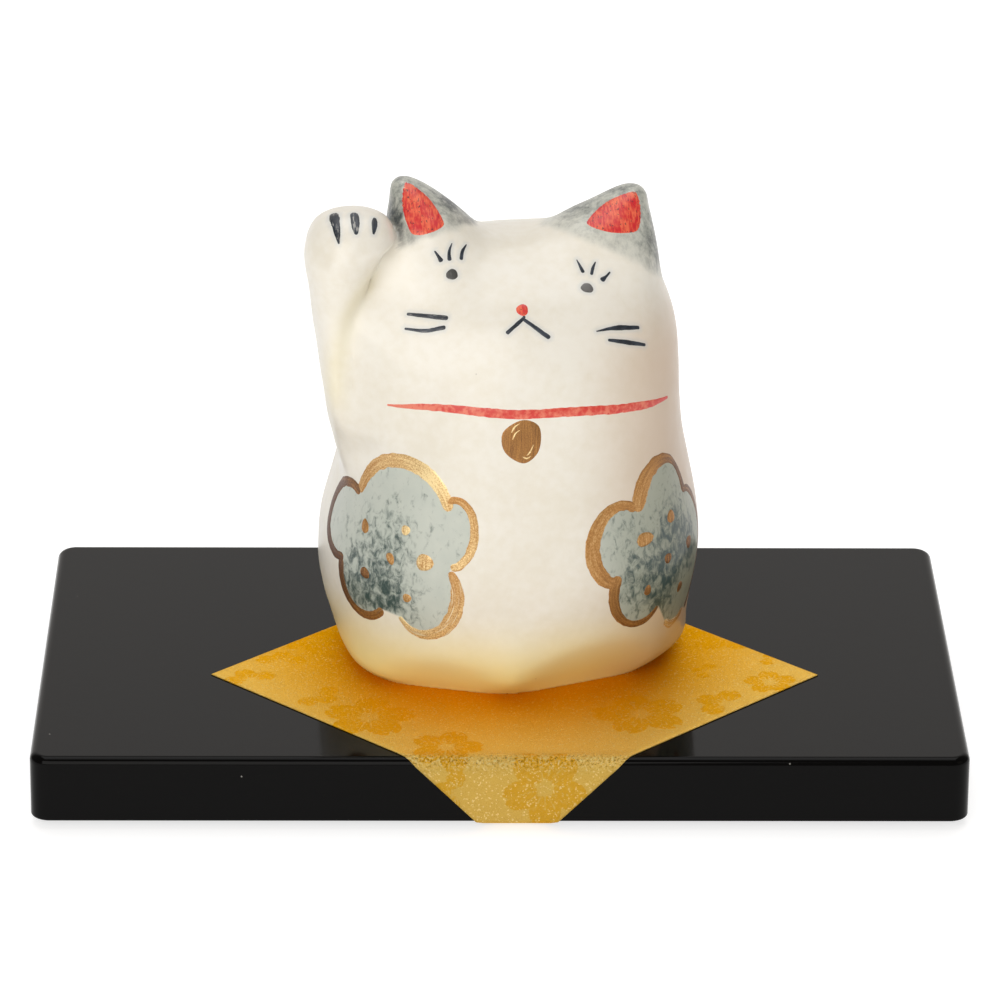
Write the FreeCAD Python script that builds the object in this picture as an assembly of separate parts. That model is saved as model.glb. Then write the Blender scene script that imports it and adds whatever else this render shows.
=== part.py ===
import FreeCAD, Part
import math
import os

V = FreeCAD.Vector

# A beckoning cat figurine on its gold cloth mat and black display board.
# Millimetres. Origin: under the middle of the board, on the plane the feet stand on.
# +X runs along the board to the viewer's right, +Y to the back, +Z up.

# Display board and its feet
board_length = 160.0
board_depth = 93.5
board_thickness = 11.7
board_corner_radius = 3.3
board_edge_round = 1.4
board_foot_edge_round = 0.5
foot_radius = 5.0
foot_height = 1.5
foot_inset = 11.0
board_top = foot_height + board_thickness

# Gold cloth mat, a square laid corner to the front and folded round the board's front edge
mat_side = 75.0
mat_thickness = 0.3
mat_centre = (2.9, -11.8)
mat_front_gap = 0.1
mat_end_half_width = 0.8

# Figurine: where it stands, and its turn to the viewer's right
figurine_place = (1.0, 5.3, board_top + mat_thickness)
figurine_turn_deg = 5.0
wall = 3.0
body_height = 76.0
body_squareness = 2.3
lean = 3.1                      # the head stands this far to the right of the base

# Body profile: height, half width, half depth
body_profile = [
    (0.0, 25.8, 24.2),
    (1.6, 29.0, 27.4),
    (5.0, 31.0, 29.2),
    (12.0, 32.6, 30.5),
    (22.0, 33.3, 31.0),
    (32.0, 31.4, 30.0),
    (42.0, 29.2, 28.6),
    (52.0, 28.1, 26.9),
    (61.0, 26.9, 24.3),
    (67.0, 24.6, 20.9),
    (71.0, 21.4, 16.8),
    (74.6, 14.2, 10.2),
]

# Ears: height, distance from the head's middle, centre y, half width, half depth.
# They are shaped by hand, so the one on the viewer's right is lower and broader.
left_ear_profile = [
    (62.0, 12.5, -2.6, 11.5, 13.6),
    (70.0, 14.0, -2.9, 10.4, 11.9),
    (76.0, 15.2, -2.6, 9.0, 9.6),
    (80.5, 17.2, -1.8, 6.5, 7.0),
    (83.8, 19.2, -1.0, 4.0, 4.4),
    (85.6, 20.5, -0.6, 2.3, 2.7),
    (86.4, 20.9, -0.5, 1.0, 1.2),
]
right_ear_profile = [
    (60.0, 10.8, -2.6, 11.5, 13.6),
    (67.3, 12.0, -2.9, 11.0, 12.0),
    (73.3, 12.6, -2.7, 10.8, 10.2),
    (77.8, 13.1, -2.0, 9.3, 7.4),
    (81.1, 16.4, -1.0, 5.1, 4.6),
    (83.2, 18.2, -0.6, 2.7, 2.7),
    (84.0, 18.7, -0.5, 1.1, 1.2),
]

# Raised arm and paw: height, centre x, centre y, half width, half depth
arm_profile = [
    (35.0, -23.0, -7.2, 4.8, 5.0),
    (42.0, -25.6, -7.7, 5.2, 5.5),
    (48.0, -26.2, -8.1, 5.4, 5.9),
    (54.0, -26.8, -8.5, 5.5, 6.1),
    (60.0, -27.4, -8.8, 5.7, 6.3),
    (66.0, -28.0, -9.2, 6.0, 6.6),
    (71.0, -27.7, -9.4, 7.0, 7.2),
    (76.0, -27.6, -9.4, 7.8, 7.8),
    (80.0, -27.5, -9.0, 7.4, 7.1),
    (82.4, -27.4, -8.7, 5.8, 5.3),
]
arm_tip_height = 83.9

# Base disc closing the hollow body, with its vent hole
base_thickness = 3.0
base_inset = 4.5
vent_radius = 2.5

# Bobtail low on the back
tail_radius = 6.5
tail_centre = (0.0, 28.5, 12.0)


def ring(centre_x, centre_y, height, half_width, half_depth, squareness=2.0, points=24):
    """A closed smooth wire: a superellipse, or an ellipse at squareness 2."""
    power = 2.0 / squareness
    outline = []
    for i in range(points):
        angle = 2.0 * math.pi * i / points
        c, s = math.cos(angle), math.sin(angle)
        outline.append(V(centre_x + half_width * math.copysign(abs(c) ** power, c),
                         centre_y + half_depth * math.copysign(abs(s) ** power, s), height))
    curve = Part.BSplineCurve()
    curve.interpolate(outline, PeriodicFlag=True)
    return Part.Wire(curve.toShape())


def body_solid(inset):
    """The body without its ears, inset on every side by the given distance."""
    rings = []
    for height, half_width, half_depth in body_profile:
        z = inset + height * (body_height - 2.0 * inset) / body_height
        rings.append(ring(lean * height / body_height, 0.0, z,
                          half_width - inset, half_depth - inset, body_squareness))
    rings.append(Part.Vertex(V(lean, 0.0, body_height - inset)))
    return Part.makeLoft(rings, True, False)


def ear(side, profile):
    rings = [ring(lean + side * distance, y, height, half_width, half_depth)
             for height, distance, y, half_width, half_depth in profile]
    return Part.makeLoft(rings, True, False)


def figurine_outside():
    return body_solid(0.0).fuse([ear(-1, left_ear_profile), ear(1, right_ear_profile)])


def base_prism(inset, height):
    face = Part.Face(ring(0.0, 0.0, 0.0, body_profile[0][1] - inset, body_profile[0][2] - inset,
                          body_squareness))
    return face.extrude(V(0, 0, height))


def shell_halves(outside):
    """The front and rear halves of the moulded hollow body, parted through the ears."""
    hollow = outside.cut([body_solid(wall), base_prism(base_inset, base_thickness)])
    size = 60.0
    front_space = Part.makeBox(2 * size, size, 2 * size, V(-size, -size, -1.0))
    rear_space = Part.makeBox(2 * size, size, 2 * size, V(-size, 0.0, -1.0))
    return hollow.common(front_space), hollow.common(rear_space)


def base_disc():
    return base_prism(base_inset, base_thickness).cut(Part.makeCylinder(vent_radius, base_thickness))


def raised_arm(outside):
    rings = [ring(x, y, height, half_width, half_depth)
             for height, x, y, half_width, half_depth in arm_profile]
    rings.append(Part.Vertex(V(arm_profile[-1][1], arm_profile[-1][2], arm_tip_height)))
    return Part.makeLoft(rings, True, False).cut(outside)


def tail(outside):
    return Part.makeSphere(tail_radius, V(*tail_centre)).cut(outside)


def board():
    slab = Part.makeBox(board_length, board_depth, board_thickness,
                        V(-board_length / 2, -board_depth / 2, foot_height))
    uprights = [e for e in slab.Edges if e.BoundBox.ZLength > board_thickness / 2]
    slab = slab.makeFillet(board_corner_radius, uprights)
    for height, radius in ((board_top, board_edge_round), (foot_height, board_foot_edge_round)):
        rim = [e for e in slab.Edges
               if e.BoundBox.ZLength < 1e-6 and abs(e.BoundBox.ZMax - height) < 1e-6]
        slab = slab.makeFillet(radius, rim)
    return slab


def foot(side_x, side_y):
    return Part.makeCylinder(foot_radius, foot_height,
                             V(side_x * (board_length / 2 - foot_inset),
                               side_y * (board_depth / 2 - foot_inset), 0.0))


def tapered(piece, start, travel, length, half_start, half_end):
    """The part of a full-width strip whose side edges narrow evenly along the travel direction."""
    overrun = 0.6
    narrowing = (half_start - half_end) / length * overrun
    side = V(1, 0, 0)
    first = start - travel * overrun
    last = start + travel * (length + overrun)
    wide = side * (half_start + narrowing)
    narrow = side * (half_end - narrowing)
    normal = side.cross(travel)
    reach = 6.0
    corners = [first - wide, first + wide, last + narrow, last - narrow, first - wide]
    face = Part.Face(Part.makePolygon([c - normal * reach for c in corners]))
    return piece.common(face.extrude(normal * (2 * reach)))


def mat_bend(centre, inner, start_deg):
    """A quarter turn of the sheet about a line along X, from start_deg past straight up."""
    half = mat_side / math.sqrt(2.0)

    def sector(radius):
        return Part.makeCylinder(radius, 2 * half, centre - V(half, 0, 0), V(1, 0, 0), 90)

    quarter = sector(inner + mat_thickness).cut(sector(inner))
    quarter.rotate(centre, V(1, 0, 0), start_deg)
    return quarter


def mat():
    """The square sheet: flat on top, then round the front edge, down it and back under it."""
    half = mat_side / math.sqrt(2.0)
    x, y = mat_centre
    thick = mat_thickness
    front = -board_depth / 2 - mat_front_gap
    under = foot_height - mat_front_gap
    upper_radius = board_edge_round + mat_front_gap
    lower_radius = board_foot_edge_round + mat_front_gap
    upper_centre = V(x, front + upper_radius, board_top - upper_radius)
    lower_centre = V(x, front + lower_radius, under + lower_radius)

    # Lengths along the sheet from its last flat line, and the half width left after each
    upright_length = upper_centre.z - lower_centre.z
    lengths = [math.pi / 2 * upper_radius, upright_length, math.pi / 2 * lower_radius]
    widths = [half - (y - upper_centre.y)]
    for length in lengths:
        widths.append(widths[-1] - length)
    under_length = widths[3] - mat_end_half_width

    outline = [V(x - half, y, board_top), V(x, y + half, board_top), V(x + half, y, board_top),
               V(x + widths[0], upper_centre.y, board_top), V(x - widths[0], upper_centre.y, board_top)]
    top = Part.Face(Part.makePolygon(outline + outline[:1])).extrude(V(0, 0, thick))
    down_out = V(0, -1, -1).normalize()
    down_in = V(0, 1, -1).normalize()
    pieces = [
        tapered(mat_bend(upper_centre, upper_radius, 0), V(x, upper_centre.y, board_top), down_out,
                math.sqrt(2.0) * upper_radius, widths[0], widths[1]),
        tapered(Part.makeBox(2 * half, thick, upright_length, V(x - half, front - thick, lower_centre.z)),
                V(x, front, upper_centre.z), V(0, 0, -1), upright_length, widths[1], widths[2]),
        tapered(mat_bend(lower_centre, lower_radius, 90), V(x, front, lower_centre.z), down_in,
                math.sqrt(2.0) * lower_radius, widths[2], widths[3]),
        tapered(Part.makeBox(2 * half, under_length, thick, V(x - half, lower_centre.y, under - thick)),
                V(x, lower_centre.y, under), V(0, 1, 0), under_length, widths[3], mat_end_half_width),
    ]
    return top.fuse(pieces).removeSplitter()


def stand(shape):
    """Turn a figurine piece and set it on the mat."""
    placed = shape.copy()
    placed.rotate(V(0, 0, 0), V(0, 0, 1), figurine_turn_deg)
    placed.translate(V(*figurine_place))
    return placed


def all_nodes():
    outside = figurine_outside()
    front_half, rear_half = shell_halves(outside)
    nodes = {
        "body_front_shell": stand(front_half),
        "body_rear_shell": stand(rear_half),
        "base_disc": stand(base_disc()),
        "raised_arm": stand(raised_arm(outside)),
        "bobtail": stand(tail(outside)),
        "cloth_mat": mat(),
        "display_board": board(),
    }
    for end, side_y in (("front", -1), ("rear", 1)):
        for side, side_x in (("left", -1), ("right", 1)):
            nodes["foot_" + end + "_" + side] = foot(side_x, side_y)
    return nodes


os.makedirs("parts", exist_ok=True)
for name, shape in all_nodes().items():
    print(name, "valid", shape.isValid(), "solids", len(shape.Solids), "volume", round(shape.Volume, 1))
    shape.exportStep("parts/" + name + ".step")
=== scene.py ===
import math

import bmesh
import bpy
import numpy as np
from mathutils import Matrix, Vector, noise
from mathutils.bvhtree import BVHTree
from mathutils.kdtree import KDTree


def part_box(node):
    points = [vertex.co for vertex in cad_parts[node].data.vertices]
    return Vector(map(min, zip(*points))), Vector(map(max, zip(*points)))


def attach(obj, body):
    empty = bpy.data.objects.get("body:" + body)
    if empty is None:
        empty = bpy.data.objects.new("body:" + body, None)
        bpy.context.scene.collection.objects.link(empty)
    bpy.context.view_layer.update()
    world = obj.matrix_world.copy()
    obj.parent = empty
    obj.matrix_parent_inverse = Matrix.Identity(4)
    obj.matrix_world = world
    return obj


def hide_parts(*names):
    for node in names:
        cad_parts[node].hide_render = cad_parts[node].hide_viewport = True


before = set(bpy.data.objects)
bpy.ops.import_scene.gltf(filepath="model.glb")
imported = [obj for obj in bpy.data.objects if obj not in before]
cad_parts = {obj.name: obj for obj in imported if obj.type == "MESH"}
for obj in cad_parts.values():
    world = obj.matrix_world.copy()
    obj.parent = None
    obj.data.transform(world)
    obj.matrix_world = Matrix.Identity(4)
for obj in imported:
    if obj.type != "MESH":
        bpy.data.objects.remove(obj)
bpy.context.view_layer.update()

# Lengths in this script are millimetres, and angles degrees, unless a name says otherwise.
MM = 0.001
STAND = "board_and_mat"
CAT = "figurine"


# ---------------------------------------------------------------- frame of the figurine

def box_mm(node):
    """The low and high corners of a CAD node's box, in millimetres."""
    low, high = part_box(node)
    return np.array(low) / MM, np.array(high) / MM


disc_low, disc_high = box_mm("base_disc")
CAT_AXIS = (disc_low + disc_high) / 2
CAT_AXIS[2] = disc_low[2]
CAT_TURN = math.radians(5.0)
TURN = np.array([[math.cos(CAT_TURN), -math.sin(CAT_TURN), 0.0],
                 [math.sin(CAT_TURN), math.cos(CAT_TURN), 0.0],
                 [0.0, 0.0, 1.0]])
LEAN_RATE = 0.041               # the body leans this much to the right for its height


def to_cat(points):
    """From the part's frame to the figurine's own: x to its left, y to its back, z up from its base."""
    return (points - CAT_AXIS) @ TURN


def from_cat(points):
    return np.asarray(points) @ TURN.T + CAT_AXIS


def smooth_step(low, high, value):
    """0 at low, 1 at high and smooth between; low may be the larger one."""
    t = np.clip((np.asarray(value, float) - low) / (high - low), 0.0, 1.0)
    return t * t * (3.0 - 2.0 * t)


# ---------------------------------------------------------------- mesh helpers

def make_piece(name, points, faces, body, material):
    """A smooth-shaded mesh piece from points in the part's frame, in millimetres."""
    mesh = bpy.data.meshes.new(name)
    mesh.from_pydata((np.asarray(points) * MM).tolist(), [], faces)
    mesh.update()
    mesh.shade_smooth()
    piece = bpy.data.objects.new(name, mesh)
    bpy.context.scene.collection.objects.link(piece)
    mesh.materials.append(material)
    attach(piece, body)
    return piece


def add_attribute(piece, name, kind, values):
    """Stores a value or a vector for each point of a piece, for its material to read."""
    attribute = piece.data.attributes.new(name, kind, "POINT")
    field = "value" if kind == "FLOAT" else "vector"
    attribute.data.foreach_set(field, np.asarray(values, np.float32).ravel())


def joined_mesh(parts):
    """One mesh, in metres, from several (points in metres, faces) pairs."""
    points, faces = [], []
    for part_points, part_faces in parts:
        start = len(points)
        points.extend(part_points)
        faces.extend([[start + i for i in face] for face in part_faces])
    mesh = bpy.data.meshes.new("joined")
    mesh.from_pydata(points, [], faces)
    return mesh


def node_parts(name):
    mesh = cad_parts[name].data
    return [tuple(v.co) for v in mesh.vertices], [list(p.vertices) for p in mesh.polygons]


def hull_parts(name):
    """The convex hull of a CAD node, which fills its holes."""
    shape = bmesh.new()
    shape.from_mesh(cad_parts[name].data)
    hull = bmesh.ops.convex_hull(shape, input=shape.verts)
    inner = [g for g in hull["geom_interior"] + hull["geom_unused"] if isinstance(g, bmesh.types.BMVert)]
    bmesh.ops.delete(shape, geom=inner, context="VERTS")
    bmesh.ops.convex_hull(shape, input=shape.verts)
    shape.verts.index_update()
    parts = ([tuple(v.co) for v in shape.verts], [[v.index for v in f.verts] for f in shape.faces])
    shape.free()
    return parts


def voxel_union(parts, voxel):
    """Points in millimetres and quad faces of the outer skin round all the parts together."""
    mesh = joined_mesh(parts)
    work = bpy.data.objects.new("union", mesh)
    bpy.context.scene.collection.objects.link(work)
    remesh = work.modifiers.new("remesh", "REMESH")
    remesh.mode = "VOXEL"
    remesh.voxel_size = voxel * MM
    result = bpy.data.meshes.new_from_object(work.evaluated_get(bpy.context.evaluated_depsgraph_get()))
    points = np.zeros(len(result.vertices) * 3)
    result.vertices.foreach_get("co", points)
    faces = [list(p.vertices) for p in result.polygons]
    bpy.data.objects.remove(work)
    return points.reshape(-1, 3) / MM, faces


def slab_faces(rows, columns, start=0):
    """Faces of a closed sheet of two layers, each a grid of points, outer layer first."""
    index = start + np.arange(rows * columns).reshape(rows, columns)
    squares = np.stack([index[:-1, :-1], index[1:, :-1], index[1:, 1:], index[:-1, 1:]], -1).reshape(-1, 4)
    loop = np.concatenate([index[:-1, 0], index[-1, :-1], index[:0:-1, -1], index[0, :0:-1]])
    following = np.roll(loop, -1)
    inner = rows * columns
    walls = np.stack([following, loop, loop + inner, following + inner], 1)
    return np.concatenate([squares, squares[:, ::-1] + inner, walls])


class Skin:
    """A closed quad mesh with the neighbour sums and normals that smoothing needs."""

    def __init__(self, points, faces):
        self.points = points
        self.faces = faces
        self.quads = np.array([f if len(f) == 4 else f + f[-1:] for f in faces])
        pairs = np.concatenate([self.quads[:, [i, (i + 1) % 4]] for i in range(4)])
        pairs = pairs[pairs[:, 0] != pairs[:, 1]]
        self.start, self.end = pairs.T
        self.count = np.bincount(self.start, minlength=len(points))[:, None]

    def lean(self):
        """How far each point would move to the mean of its neighbours."""
        total = np.stack([np.bincount(self.start, self.points[self.end, k], len(self.points))
                          for k in range(3)], 1)
        return total / self.count - self.points

    def normals(self):
        a, b, c, d = (self.points[self.quads[:, i]] for i in range(4))
        face_normals = np.cross(c - a, d - b)
        total = np.zeros_like(self.points)
        for i in range(4):
            for k in range(3):
                total[:, k] += np.bincount(self.quads[:, i], face_normals[:, k], len(self.points))
        return total / np.maximum(np.linalg.norm(total, axis=1, keepdims=True), 1e-12)

    def relax(self, rounds, weight=1.0):
        """Smoothing that keeps the volume."""
        for _ in range(rounds):
            self.points += 0.5 * weight * self.lean()
            self.points -= 0.52 * weight * self.lean()

    def soften(self, rounds, weight):
        """Plain smoothing, which rounds ridges and hollows off."""
        for _ in range(rounds):
            self.points += 0.5 * weight * self.lean()

    def fill_creases(self, rounds, weight):
        """Raises hollows only, as slip and glaze fill a join."""
        for _ in range(rounds):
            normals = self.normals()
            rise = np.maximum((self.lean() * normals).sum(1, keepdims=True), 0.0)
            self.points += 0.9 * weight * rise * normals


def noise_field(points, size, seed):
    """Smooth noise between about -1 and 1 at each point, with features of the given size."""
    offset = Vector((seed * 17.3, seed * 5.1, seed * 9.7))
    return np.array([noise.noise(Vector(p) / size + offset) for p in points])


# ---------------------------------------------------------------- node materials

class Nodes:
    """A short way to write a material's node tree."""

    def __init__(self, name):
        self.material = bpy.data.materials.new(name)
        self.material.use_nodes = True
        self.tree = self.material.node_tree
        self.shader = self.tree.nodes["Principled BSDF"]

    def add(self, kind, inputs=None, **settings):
        node = self.tree.nodes.new(kind)
        for key, value in settings.items():
            setattr(node, key, value)
        for key, value in (inputs or {}).items():
            self.put(node.inputs[key], value)
        return node

    def put(self, socket, value):
        if isinstance(value, bpy.types.NodeSocket):
            self.tree.links.new(value, socket)
        elif isinstance(value, bpy.types.Node):
            self.tree.links.new(value.outputs[0], socket)
        else:
            socket.default_value = value

    def math(self, operation, a, b=0.0, c=0.0, clamp=False):
        node = self.add("ShaderNodeMath", {0: a, 1: b, 2: c}, operation=operation, use_clamp=clamp)
        return node.outputs[0]

    def mix(self, factor, a, b, blend="MIX"):
        node = self.add("ShaderNodeMix", data_type="RGBA", blend_type=blend, clamp_factor=True)
        self.put(node.inputs[0], factor)
        self.put(node.inputs[6], a)
        self.put(node.inputs[7], b)
        return node.outputs[2]

    def ramp(self, value, low, high, start=0.0, end=1.0):
        node = self.add("ShaderNodeMapRange", {0: value, 1: low, 2: high, 3: start, 4: end})
        node.interpolation_type = "SMOOTHSTEP"
        return node.outputs[0]

    def place(self, scale=(1.0, 1.0, 1.0), rotation=(0.0, 0.0, 0.0)):
        """Object coordinates in millimetres, scaled and turned."""
        coordinates = self.add("ShaderNodeTexCoord").outputs["Object"]
        scaled = [s / MM for s in scale]
        return self.add("ShaderNodeMapping", {"Vector": coordinates, "Scale": scaled,
                                              "Rotation": rotation}).outputs[0]

    def noise(self, size, detail=3.0, where=None, roughness=0.5, distortion=0.0):
        vector = where or self.place()
        return self.add("ShaderNodeTexNoise", {"Vector": vector, "Scale": 1.0 / size, "Detail": detail,
                                               "Roughness": roughness, "Distortion": distortion}).outputs[0]

    def attribute(self, name):
        return self.add("ShaderNodeAttribute", attribute_name=name).outputs["Fac"]

    def along_brush(self, scale):
        """Place within a brush stroke, in millimetres: along it, across it, and which stroke."""
        vector = self.add("ShaderNodeAttribute", attribute_name="brush").outputs["Vector"]
        return self.add("ShaderNodeMapping", {"Vector": vector, "Scale": scale}).outputs[0]

    def bump(self, height, distance, strength=1.0):
        settings = {"Height": height, "Distance": distance * MM, "Strength": strength}
        return self.add("ShaderNodeBump", settings).outputs[0]

    def finish(self, **sockets):
        for name, value in sockets.items():
            self.put(self.shader.inputs[name.replace("_", " ")], value)
        return self.material


CREAM_DARK = (0.83, 0.775, 0.655, 1)
CREAM_LIGHT = (0.89, 0.85, 0.76, 1)
HONEY_AND_MAT_REFLECTION = (1.0, 0.87, 0.38, 1)
RIGHT_SIDE_SHADE = (0.66, 0.48, 0.33, 1)
SPECK = (0.25, 0.2, 0.15, 1)
EAR_GREY = (0.58, 0.59, 0.52, 1)
EAR_BLACK = (0.040, 0.052, 0.055, 1)
WASH_DARK = (0.50, 0.54, 0.48, 1)
WASH_LIGHT = (0.63, 0.65, 0.57, 1)
WASH_SHADE = (0.33, 0.40, 0.33, 1)
WASH_RIGHT_SIDE_SHADE = (0.31, 0.32, 0.23, 1)
TEAL = (0.036, 0.068, 0.060, 1)
INK_BLEED = (0.46, 0.53, 0.60, 1)


def glaze_material():
    """Cream glaze with its washes of colour, which the points carry as smooth fields, among them a painted
    reflection of the gold mat at the foot and painted shade down the right side.
    """
    n = Nodes("glaze")
    large_clouds = n.math("MULTIPLY", n.noise(14.0, 3.0), 0.6)
    small_clouds = n.math("MULTIPLY", n.noise(1.6, 5.0), 0.4)
    cloudy = n.math("ADD", large_clouds, small_clouds)
    colour = n.mix(n.ramp(cloudy, 0.30, 0.66), CREAM_DARK, CREAM_LIGHT)
    # Honey glaze at the foot, with a painted reflection of the gold mat on it
    colour = n.mix(n.attribute("honey_and_mat_reflection"), colour, HONEY_AND_MAT_REFLECTION)
    # Painted shade down the right side, away from the key light
    colour = n.mix(n.attribute("right_side_shade"), colour, RIGHT_SIDE_SHADE)
    speck_field = n.add("ShaderNodeTexVoronoi", {"Vector": n.place(), "Scale": 0.16, "Randomness": 1.0})
    specks = n.ramp(speck_field.outputs["Distance"], 0.012, 0.03, 0.35, 0.0)
    colour = n.mix(specks, colour, SPECK)

    # Grey-green wash over the ears, mottled and pooled dark in places, with painted shade in the gap beside
    # the paw
    mottle = n.noise(1.3, 6.0, roughness=0.7, where=n.place((1.0, 1.0, 0.6)))
    gloomy = n.math("ADD", mottle, n.math("MULTIPLY", n.attribute("gloom"), 0.42))
    grey = n.mix(n.ramp(gloomy, 0.38, 1.0), EAR_GREY, EAR_BLACK)
    cover = n.math("MULTIPLY", n.attribute("patch"), n.ramp(mottle, 0.2, 0.6, 0.85, 1.0))
    colour = n.mix(cover, colour, grey)

    # Pale grey-green wash inside the blossoms, with teal blotches that ran down
    shade = n.attribute("shade")
    blotches = n.noise(1.3, 5.0, roughness=0.66, distortion=0.6, where=n.place((1.0, 1.0, 0.75)))
    runs = n.noise(0.7, 3.0, where=n.place((1.0, 1.0, 0.5)))
    blotches = n.math("ADD", n.math("MULTIPLY", blotches, 0.8), n.math("MULTIPLY", runs, 0.2))
    teal = n.ramp(n.math("ADD", blotches, n.math("MULTIPLY", shade, 0.22)), 0.53, 0.82)
    wash = n.mix(n.noise(3.0, 3.0), WASH_DARK, WASH_LIGHT)
    wash = n.mix(n.math("MULTIPLY", shade, 0.4), wash, WASH_SHADE)
    # The same painted shade down the right side, over the blossom wash
    wash = n.mix(n.attribute("right_side_shade"), wash, WASH_RIGHT_SIDE_SHADE)
    wash = n.mix(teal, wash, TEAL)
    colour = n.mix(n.ramp(n.attribute("plum"), -0.2, 0.3), colour, wash)

    colour = n.mix(n.math("MULTIPLY", n.attribute("halo"), 0.30), colour, INK_BLEED)
    rough = n.ramp(n.noise(5.0, 2.0), 0.3, 0.7, 0.34, 0.42)
    height = n.math("ADD", n.noise(3.5, 2.0), n.math("MULTIPLY", n.noise(1.6, 4.0), 0.15))
    return n.finish(Base_Color=colour, Roughness=rough, Normal=n.bump(height, 0.05, 0.6),
                    Coat_Weight=0.28, Coat_Roughness=0.17)


def gold_paint_material():
    """Bronze powder paint; tone runs from bright gold at 0 to brown at 1."""
    n = Nodes("gold_paint")
    painted_tone = n.attribute("tone")
    dry = n.attribute("dry")
    bristles = n.noise(1.0, 3.0, where=n.along_brush((0.22, 3.0, 1.0)))
    grain = n.noise(0.26, 2.0, roughness=0.7, where=n.along_brush((1.0, 1.0, 1.0)))
    grainy = n.math("MULTIPLY", n.math("SUBTRACT", grain, 0.5), n.ramp(painted_tone, 0.1, 0.7, 1.3, 0.5))
    tone = n.math("ADD", painted_tone, n.math("MULTIPLY", n.math("SUBTRACT", bristles, 0.5), 0.6))
    tone = n.math("ADD", tone, grainy)
    gold = n.mix(n.ramp(tone, -0.1, 0.6), (1.0, 0.78, 0.40, 1), (0.50, 0.235, 0.062, 1))
    colour = n.mix(n.ramp(tone, 0.45, 1.05), gold, (0.115, 0.045, 0.020, 1))
    worn = n.math("ADD", bristles, n.math("MULTIPLY", dry, 0.2))
    bare = n.math("MULTIPLY", n.ramp(worn, 0.60, 0.74), n.math("MULTIPLY", dry, 3.0, clamp=True))
    colour = n.mix(bare, colour, (0.80, 0.66, 0.42, 1))
    metal = n.math("SUBTRACT", 0.5, n.math("MULTIPLY", bare, 0.4))
    height = n.math("ADD", n.math("MULTIPLY", bristles, 0.7), n.math("MULTIPLY", grain, 0.6))
    return n.finish(Base_Color=colour, Metallic=metal, Roughness=n.ramp(grain, 0.3, 0.7, 0.34, 0.46),
                    Normal=n.bump(height, 0.04, 0.8))


def pigment_material(name, thick, thin, fleck, fleck_start=0.62, streak=(0.5, 2.2, 1.0)):
    """Painted colour under glaze: thick and thin strokes, dark flecks, and bare glaze where dry."""
    n = Nodes(name)
    bristles = n.noise(0.8, 3.0, where=n.along_brush(streak))
    pools = n.noise(1.7, 4.0, where=n.along_brush((1.0, 1.0, 1.0)))
    mixed = n.math("ADD", n.math("MULTIPLY", bristles, 0.5), n.math("MULTIPLY", pools, 0.5))
    mixed = n.math("ADD", mixed, n.math("MULTIPLY", n.math("SUBTRACT", n.attribute("tone"), 0.5), 0.5))
    colour = n.mix(n.ramp(mixed, 0.40, 0.62), thick, thin)
    flecks = n.noise(0.7, 4.0, roughness=0.65, where=n.along_brush((1.0, 1.3, 1.0)))
    colour = n.mix(n.ramp(flecks, fleck_start, fleck_start + 0.09), colour, fleck)
    dry = n.attribute("dry")
    worn = n.math("ADD", bristles, n.math("MULTIPLY", dry, 0.2))
    bare = n.math("MULTIPLY", n.ramp(worn, 0.56, 0.68), n.math("MULTIPLY", dry, 3.0, clamp=True))
    colour = n.mix(bare, colour, CREAM_LIGHT)
    return n.finish(Base_Color=colour, Roughness=n.ramp(pools, 0.3, 0.7, 0.34, 0.42),
                    Normal=n.bump(mixed, 0.03, 0.6), Coat_Weight=0.15, Coat_Roughness=0.2)


def clay_material():
    n = Nodes("bare_clay")
    grain = n.noise(0.5, 5.0, roughness=0.7)
    colour = n.mix(n.ramp(grain, 0.35, 0.7), (0.62, 0.53, 0.42, 1), (0.50, 0.41, 0.31, 1))
    return n.finish(Base_Color=colour, Roughness=0.85, Normal=n.bump(grain, 0.08, 0.7))


def lacquer_material():
    n = Nodes("black_lacquer")
    peel = n.noise(2.6, 2.0)
    dust_field = n.add("ShaderNodeTexVoronoi", {"Vector": n.place(), "Scale": 0.16, "Randomness": 1.0})
    dust = n.ramp(dust_field.outputs["Distance"], 0.015, 0.03, 1.0, 0.0)
    some = n.ramp(n.add("ShaderNodeSeparateColor", {0: dust_field.outputs["Color"]}).outputs[0], 0.55, 0.6)
    dusty = n.math("MULTIPLY", dust, some)
    colour = n.mix(dusty, (0.0016, 0.0014, 0.0013, 1), (0.25, 0.24, 0.22, 1))
    rough = n.ramp(n.noise(9.0, 3.0), 0.3, 0.7, 0.07, 0.11)
    rough = n.math("ADD", rough, n.math("MULTIPLY", dusty, 0.5))
    return n.finish(Base_Color=colour, Roughness=rough, IOR=1.18, Normal=n.bump(peel, 0.01, 0.5))


def rubber_material():
    n = Nodes("foot_rubber")
    grain = n.noise(0.4, 3.0)
    colour = n.mix(grain, (0.018, 0.018, 0.018, 1), (0.035, 0.035, 0.034, 1))
    return n.finish(Base_Color=colour, Roughness=0.75, Normal=n.bump(grain, 0.05, 0.5))


def floor_material():
    n = Nodes("pale_floor")
    colour = n.mix(n.noise(60.0, 2.0), (0.50, 0.50, 0.497, 1), (0.53, 0.53, 0.527, 1))
    return n.finish(Base_Color=colour, Roughness=0.6, Emission_Color=(1, 1, 1, 1), Emission_Strength=0.72)


# ---------------------------------------------------------------- the gold cloth mat

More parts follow.
